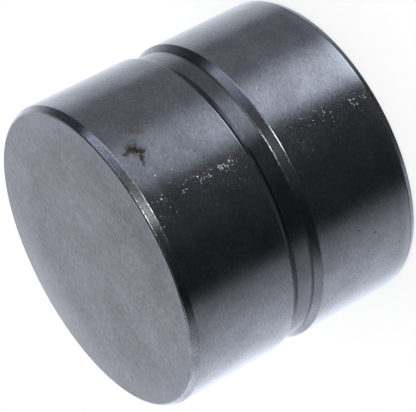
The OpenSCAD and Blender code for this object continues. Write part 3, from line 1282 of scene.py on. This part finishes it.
class BuildRetainingRing(bpy.types.Operator):
    """Winds the open snap ring that keeps the housing in its sleeve"""

    bl_idname = "tappet.retaining_ring"
    bl_label = "Retaining ring"

    def execute(self, context):
        sizes = context.scene.tappet_element
        low = foot("retaining_ring")
        wire = top("retaining_ring") - low
        mesh = bmesh.new()
        section = wire_section(mesh, outer_radius("retaining_ring") - wire / 2, low + wire / 2, wire)
        wind(mesh, section, 2 * math.pi - sizes.ring_opening, 0.0, INNER_STEPS)
        close_wire(mesh)
        turn = Matrix.Rotation(math.pi / 2 + sizes.ring_opening / 2, 4, "Z")
        bmesh.ops.transform(mesh, matrix=turn, verts=mesh.verts)
        material = drawn_wire(context.scene.tappet_finishes)
        finish_piece("snap_ring", mesh, [material], "bucket", "retaining_ring")
        return {"FINISHED"}


# Stage

# Brightness of the studio round the tappet, by degrees from the camera's side, as it is seen looking
# down past the lands, level past the edges and up past the bevels
LOW_RING = (
    (-180, 1.12), (-165, 1.05), (-150, 0.82), (-140, 0.66), (-130, 0.53), (-120, 0.35), (-111, 0.165),
    (-100, 0.16), (-60, 0.18), (-30, 0.1), (-16, 0.05), (0, 0.04), (20, 0.024), (51, 0.016),
    (58, 0.042), (66, 0.15), (80, 0.28), (90, 0.36), (110, 0.55), (130, 0.76), (140, 0.96),
    (152, 1.2), (165, 1.25), (180, 1.12),
)
MID_RING = (
    (-180, 0.95), (-150, 0.87), (-136, 0.43), (-128, 0.23), (-120, 0.13), (-112, 0.055), (-98, 0.03),
    (-88, 0.06), (-78, 0.34), (-68, 0.72), (-60, 0.95), (-52, 0.95), (-44, 0.8), (-36, 0.68), (-25, 0.55),
    (-8, 0.45), (0, 0.25), (6, 0.12), (12, 0.05), (20, 0.025), (48, 0.025), (56, 0.07), (64, 0.15),
    (80, 0.24), (96, 0.4), (104, 0.56), (112, 0.76), (120, 1.05), (143, 1.08), (180, 0.95),
)
HIGH_RING = (
    (-180, 0.115), (-177.5, 0.14), (-173, 0.62), (-166, 0.76), (-145, 0.5), (-120, 0.2), (-106, 0.06),
    (-92, 0.05),
    (-86, 0.24), (-80, 0.57), (-68, 0.48), (-55, 0.28), (-42, 0.11), (-20, 0.09), (0, 0.075), (12, 0.055),
    (30, 0.024), (54, 0.014), (63, 0.025), (71, 0.07), (79, 0.25), (88, 0.45), (100, 0.53), (120, 0.63),
    (145, 0.6), (166, 0.85), (173, 0.72), (177.5, 0.16), (180, 0.115),
)
UNDER_RING = (
    (-180, 0.15), (-168, 0.4), (-156, 0.78), (-139, 0.62), (-121, 0.5), (-112, 0.41), (-102, 0.34),
    (-90, 0.3), (-78, 0.32), (-63, 0.25), (-45, 0.15), (-20, 0.07), (0, 0.06), (40, 0.06), (55, 0.08),
    (63, 0.12), (78, 0.3), (90, 0.46), (102, 0.57), (112, 0.69), (121, 0.78), (132, 0.84), (139, 0.9),
    (148, 0.66), (158, 0.6), (168, 0.35), (180, 0.15),
)
UNDER_TINT = (0.97, 1.0, 1.05, 1.0)
STUDIO_TINT = (0.92, 0.967, 1.085, 1.0)
STRIP_TINT = (0.88, 0.965, 1.13, 1.0)
LEFT_TINT = (0.94, 1.0, 1.13, 1.0)

# Heights, in degrees, over which the light from below passes into the low ring, one ring into the next,
# and the high ring into the overhead light
BELOW_TO_LOW = (-47.0, -29.0)
LOW_TO_MID = (-15.0, -6.0)
MID_TO_HIGH = (7.0, 17.0)
HIGH_TO_SKY = (48.0, 62.0)

# Cards behind the tappet that the crown mirrors: degrees away from the camera's side and heights over
# which each comes in, and its brightness. The dim card is low on the right, with its strength.
WALL = ((173.0, 180.0), (23.2, 14.0), 1.5)
LOFT = ((171.0, 178.0), (27.0, 31.0), 0.6)
DIM_CARD = ((100.0, 125.0), (-26.5, -30.5), 0.22)

# Bearing of the bluer light on the left, as middle, full half and outer half
LEFT_TURN = (-76.0, 22.0, 46.0)

# The part below that the rim's bevel mirrors: how it sinks with the bearing, and its two sides
UNDER_SINK = 0.42
UNDER_SIDES = ((-107.8, -105.5), (-98.5, -102.5))
UNDER_DARK = 0.07

# The pale strip low on the left: bearings at its two sides, heights at its two ends, and heights over
# which it gets brighter, with the brightness before and after
STRIP_SIDES = ((-74.0, -48.0), (-20.0, -34.5))
STRIP_ENDS = ((-12.0, -20.0), (-56.0, -44.0))
STRIP_STEPS = (
    ((-22.0, -38.0), 0.12, 0.92),
    ((-29.5, -32.0), 0.0, 0.3),
    ((-34.0, -40.0), 0.0, 1.0),
)

# Distances from the axis, in metres, over which the floor's glow rises to white
FLOOR_FADE = (0.06, 0.3)

# Small lamps by the camera: bearing and height, each as middle, bright half and outer half, and
# brightness
LAMPS = (
    ((-14, 5, 11), (1, 2, 8), 6.0),
    ((-13, 6, 15), (39, 2, 8), 0.31),
    ((-26, 8, 30), (38, 2, 7), 0.24),
    ((-16, 8, 19), (53, 3, 7), 5.0),
)


class BuildStage(bpy.types.Operator):
    """Sets up the floor, the studio light and the camera"""

    bl_idname = "tappet.stage"
    bl_label = "Stage"

    def execute(self, context):
        stage = context.scene.tappet_stage
        context.scene.view_settings.view_transform = "Standard"
        self.floor(context, stage)
        self.studio(context, stage)
        self.softbox(context, stage)
        self.camera(context, stage)
        return {"FINISHED"}

    def floor(self, context, stage):
        """A white floor that keeps a soft shadow and lets the steel mirror the studio below it."""
        mesh = bmesh.new()
        bmesh.ops.create_grid(mesh, x_segments=1, y_segments=1, size=stage.floor_size)
        data = bpy.data.meshes.new("floor")
        mesh.to_mesh(data)
        mesh.free()
        material = bpy.data.materials.new("white_floor")
        material.use_nodes = True
        nodes = Shading(material.node_tree)
        path = nodes.add("ShaderNodeLightPath")
        seen = nodes.math(
            "MAXIMUM", path.outputs["Is Camera Ray"], path.outputs["Is Transmission Ray"]
        )
        x, y, _ = nodes.split(nodes.place())
        squares = nodes.math("ADD", nodes.math("POWER", x, 2.0), nodes.math("POWER", y, 2.0))
        bright = nodes.fade(nodes.math("SQRT", squares), *FLOOR_FADE, stage.floor_glow, 1.0)
        glow = nodes.add("ShaderNodeEmission", {"Strength": nodes.math("MULTIPLY", seen, bright)})
        matt = nodes.add("ShaderNodeBsdfDiffuse", {"Color": grey(stage.floor_matt)})
        white = nodes.add("ShaderNodeAddShader")
        nodes.put(white.inputs[0], glow.outputs[0])
        nodes.put(white.inputs[1], matt.outputs[0])
        clear = nodes.add("ShaderNodeBsdfTransparent")
        either = nodes.add("ShaderNodeMixShader", {"Fac": path.outputs["Is Glossy Ray"]})
        nodes.put(either.inputs[1], white.outputs[0])
        nodes.put(either.inputs[2], clear.outputs[0])
        nodes.add("ShaderNodeOutputMaterial", {"Surface": either.outputs[0]})
        data.materials.append(material)
        floor = bpy.data.objects.new("floor", data)
        context.scene.collection.objects.link(floor)

    def ring(self, nodes, bearing, stops):
        """Brightness by bearing, from a ring of stops."""
        place = nodes.fade_line(bearing, -180.0, 180.0)
        ramp = nodes.add("ShaderNodeValToRGB", {"Fac": place})
        points = ramp.color_ramp.elements
        for number, (degrees, value) in enumerate(stops):
            where = (degrees + 180.0) / 360.0
            point = points[number] if number < 2 else points.new(where)
            point.position = where
            point.color = grey(value)
        return ramp.outputs["Color"]

    def studio(self, context, stage):
        """White for the camera, and for the steel a room of pale and dark cards, a strip and lamps."""
        world = bpy.data.worlds.new("studio")
        world.use_nodes = True
        context.scene.world = world
        nodes = Shading(world.node_tree)
        way = nodes.add("ShaderNodeTexCoord").outputs["Generated"]
        x, y, z = nodes.split(way)
        rise = nodes.math("MULTIPLY", nodes.math("ARCSINE", z), DEGREES)
        bearing = nodes.bearing(x, y)
        aside = nodes.math("ABSOLUTE", bearing)
        low = self.low_light(nodes, bearing, rise)
        middle = self.ring(nodes, bearing, MID_RING)
        high = self.high_light(nodes, bearing, aside, rise)
        seen_by_rim = self.under(nodes, aside, rise)
        below = nodes.blend(seen_by_rim, grey(UNDER_DARK), self.under_light(nodes, bearing))
        light = nodes.blend(nodes.fade(rise, *BELOW_TO_LOW), below, low)
        light = nodes.blend(nodes.fade(rise, *LOW_TO_MID), light, middle)
        light = nodes.blend(nodes.fade(rise, *MID_TO_HIGH), light, high)
        light = nodes.blend(nodes.fade(rise, *HIGH_TO_SKY), light, grey(stage.sky))
        light = nodes.tinted(light, STUDIO_TINT)
        light = nodes.plus(light, self.strip(nodes, bearing, rise))
        for where, height, bright in LAMPS:
            light = nodes.plus(light, self.lamp(nodes, bearing, rise, where, height, bright))
        path = nodes.add("ShaderNodeLightPath")
        studio = nodes.blend(path.outputs["Is Camera Ray"], light, grey(1.0))
        back = nodes.add("ShaderNodeBackground", {"Color": studio, "Strength": 1.0})
        nodes.add("ShaderNodeOutputWorld", {"Surface": back.outputs[0]})

    def low_light(self, nodes, bearing, rise):
        """Light that the lands mirror, by bearing, dimmer low on the right."""
        turn, heights, strength = DIM_CARD
        dim = nodes.both(nodes.fade(bearing, *turn), nodes.fade(rise, *heights, 0.0, strength))
        return nodes.blend(dim, self.ring(nodes, bearing, LOW_RING), grey(0.0))

    def high_light(self, nodes, bearing, aside, rise):
        """Light that the bevels and the crown mirror, by bearing, bluer on the left, with two cards."""
        light = self.ring(nodes, bearing, HIGH_RING)
        for turn, heights, bright in (WALL, LOFT):
            card = nodes.both(nodes.fade(aside, *turn), nodes.fade(rise, *heights))
            light = nodes.blend(card, light, grey(bright))
        return nodes.blend(nodes.band(bearing, *LEFT_TURN), light, nodes.tinted(light, LEFT_TINT))

    def under(self, nodes, aside, rise):
        """1 in the part below that the rim's bevel mirrors, 0 in the part that the groove mirrors."""
        down = nodes.math("SUBTRACT", rise, nodes.math("MULTIPLY", aside, UNDER_SINK))
        lower, upper = UNDER_SIDES
        return nodes.both(nodes.fade(down, *lower), nodes.fade(down, *upper))

    def under_light(self, nodes, bearing):
        """Light from below, by bearing."""
        return nodes.tinted(self.ring(nodes, bearing, UNDER_RING), UNDER_TINT)

    def strip(self, nodes, bearing, rise):
        """A pale strip low on the left, brighter towards the floor."""
        left, right = STRIP_SIDES
        wide = nodes.both(nodes.fade(bearing, *left), nodes.fade(bearing, *right))
        upper, lower = STRIP_ENDS
        tall = nodes.both(nodes.fade(rise, *upper), nodes.fade(rise, *lower))
        deep = 0.0
        for heights, before, after in STRIP_STEPS:
            deep = nodes.math("ADD", nodes.fade(rise, *heights, before, after), deep)
        return nodes.tinted(nodes.both(nodes.both(wide, deep), tall), STRIP_TINT)

    def lamp(self, nodes, bearing, rise, where, height, bright):
        """A small lamp by the camera. Its place is given as middle, bright half and outer half."""
        spot = nodes.both(nodes.band(bearing, *where), nodes.band(rise, *height))
        return nodes.tinted(nodes.math("MULTIPLY", spot, bright), grey(1.0))

    def softbox(self, context, stage):
        """A large soft lamp overhead, for the matt surfaces and the shadow."""
        data = bpy.data.lights.new("softbox", "AREA")
        data.energy = stage.softbox_power
        data.size = stage.softbox_size
        lamp = bpy.data.objects.new("softbox", data)
        lamp.location = (0.0, 0.0, stage.softbox_height)
        lamp.visible_glossy = False
        context.scene.collection.objects.link(lamp)

    def camera(self, context, stage):
        """The photograph's camera: the crown's centre lies at its own pixel and depth."""
        data = bpy.data.cameras.new("camera")
        data.sensor_width = SENSOR_W
        data.lens = stage.lens
        data.clip_start = 0.01
        data.clip_end = 10.0
        pitch = Matrix.Rotation(math.pi / 2 - stage.elevation, 4, "X")
        turn = pitch @ Matrix.Rotation(stage.roll, 4, "Z")
        per_pixel = data.sensor_width / data.lens / FRAME_W * stage.distance
        across = (CROWN_X - FRAME_W / 2) * per_pixel
        down = (CROWN_Y - FRAME_H / 2) * per_pixel
        crown = Vector((0.0, 0.0, top("bucket_body")))
        place = crown - turn.to_3x3() @ Vector((across, -down, -stage.distance))
        camera = bpy.data.objects.new("camera", data)
        camera.matrix_world = Matrix.Translation(place) @ turn
        context.scene.collection.objects.link(camera)
        context.scene.camera = camera


class TappetPanel(bpy.types.Panel):
    """Lists the tappet's pieces"""

    bl_idname = "VIEW3D_PT_tappet"
    bl_label = "Bucket tappet"
    bl_space_type = "VIEW_3D"
    bl_region_type = "UI"
    bl_category = "Tappet"

    def draw(self, context):
        for operator in OPERATORS:
            self.layout.operator(operator.bl_idname)
        for group in GROUPS:
            settings = getattr(context.scene, group)
            box = self.layout.box()
            for name in settings.bl_rna.properties.keys():
                if name not in ("name", "rna_type"):
                    box.prop(settings, name)


GROUPS = {
    "tappet_bucket": TappetBucketSizes,
    "tappet_element": TappetElementSizes,
    "tappet_finishes": TappetFinishes,
    "tappet_stage": TappetStage,
}
OPERATORS = (
    BuildBucket,
    BuildWebRing,
    BuildGuideSleeve,
    BuildHousing,
    BuildPiston,
    BuildValveCap,
    BuildCheckBall,
    BuildSprings,
    BuildRetainingRing,
    BuildStage,
)


def register():
    """Registers the settings, the operators and the panel."""
    for name, group in GROUPS.items():
        bpy.utils.register_class(group)
        setattr(bpy.types.Scene, name, bpy.props.PointerProperty(type=group))
    for operator in OPERATORS:
        bpy.utils.register_class(operator)
    bpy.utils.register_class(TappetPanel)


def unregister():
    """Takes the panel, the operators and the settings away again."""
    bpy.utils.unregister_class(TappetPanel)
    for operator in reversed(OPERATORS):
        bpy.utils.unregister_class(operator)
    for name, group in reversed(GROUPS.items()):
        delattr(bpy.types.Scene, name)
        bpy.utils.unregister_class(group)


def main():
    """Builds every piece and the stage."""
    register()
    bpy.ops.tappet.bucket()
    bpy.ops.tappet.web_ring()
    bpy.ops.tappet.guide_sleeve()
    bpy.ops.tappet.housing()
    bpy.ops.tappet.piston()
    bpy.ops.tappet.valve_cap()
    bpy.ops.tappet.check_ball()
    bpy.ops.tappet.springs()
    bpy.ops.tappet.retaining_ring()
    bpy.ops.tappet.stage()


if __name__ == "__main__":
    main()
